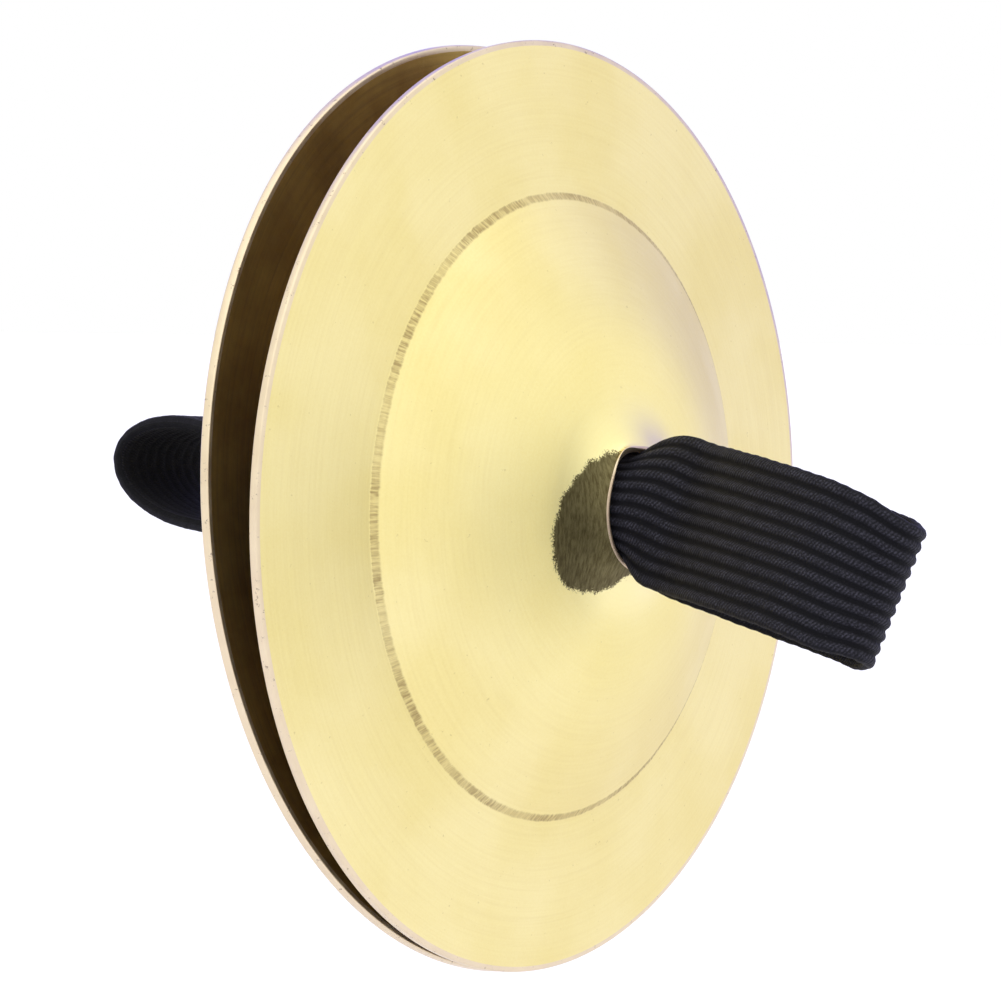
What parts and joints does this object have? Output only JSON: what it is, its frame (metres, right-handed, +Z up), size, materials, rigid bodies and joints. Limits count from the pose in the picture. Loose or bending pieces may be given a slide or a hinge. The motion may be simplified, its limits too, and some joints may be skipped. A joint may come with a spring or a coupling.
{
  "type": "finger cymbals",
  "caption": "Pair of dished brass finger cymbals, mouth to mouth, each with a ribbed elastic finger loop knotted inside its bell.",
  "frame": {"origin": "centre of the front cymbal's crown, level with the lip round its hole, where the pad of the finger rests", "axes": "-Y out along the front cymbal's axis, away from its bell; +Z up as the pair stands upright; +X to the right seen from in front"},
  "size_m": [0.06, 0.0623, 0.0601],
  "materials": {
    "brass": "satin, lightly brushed, bare at the cut edges",
    "elastic": "ribbed woven elastic, matt"
  },
  "bodies": {
    "front_cymbal": {"front_cymbal": "brass"},
    "rear_cymbal": {"rear_cymbal": "brass"},
    "front_neck": {"front_strap_knot": "elastic"},
    "rear_neck": {"rear_strap_knot": "elastic"},
    "front_loop": {"front_strap_loop": "elastic"},
    "rear_loop": {"rear_strap_loop": "elastic"}
  },
  "joints": [
    {"name": "rear_cymbal_rock", "type": "hinge", "parent": "front_cymbal", "child": "rear_cymbal", "pos_m": [0.00576, 0.00853, -0.02937], "axis": [-0.9813, 0, -0.1925], "range_deg": [-4.75, 55]},
    {"name": "front_strap_turn", "type": "hinge", "parent": "front_cymbal", "child": "front_neck", "pos_m": [0, -0.0013, 0], "axis": [0, -1, 0], "continuous": true},
    {"name": "front_strap_bend", "type": "hinge", "parent": "front_neck", "child": "front_loop", "pos_m": [0, -0.0013, 0], "axis": [0.2973, -0.2493, 0.9217], "range_deg": [-60, 60], "stiffness_Nm_per_rad": 0.001},
    {"name": "rear_strap_turn", "type": "hinge", "parent": "rear_cymbal", "child": "rear_neck", "pos_m": [0.00018, 0.02081, -0.0009], "axis": [0.0159, 0.9966, -0.0813], "continuous": true},
    {"name": "rear_strap_bend", "type": "hinge", "parent": "rear_neck", "child": "rear_loop", "pos_m": [0.00018, 0.02081, -0.0009], "axis": [0.997, -0.059, -0.0498], "range_deg": [-75, 45], "stiffness_Nm_per_rad": 0.001}
  ]
}
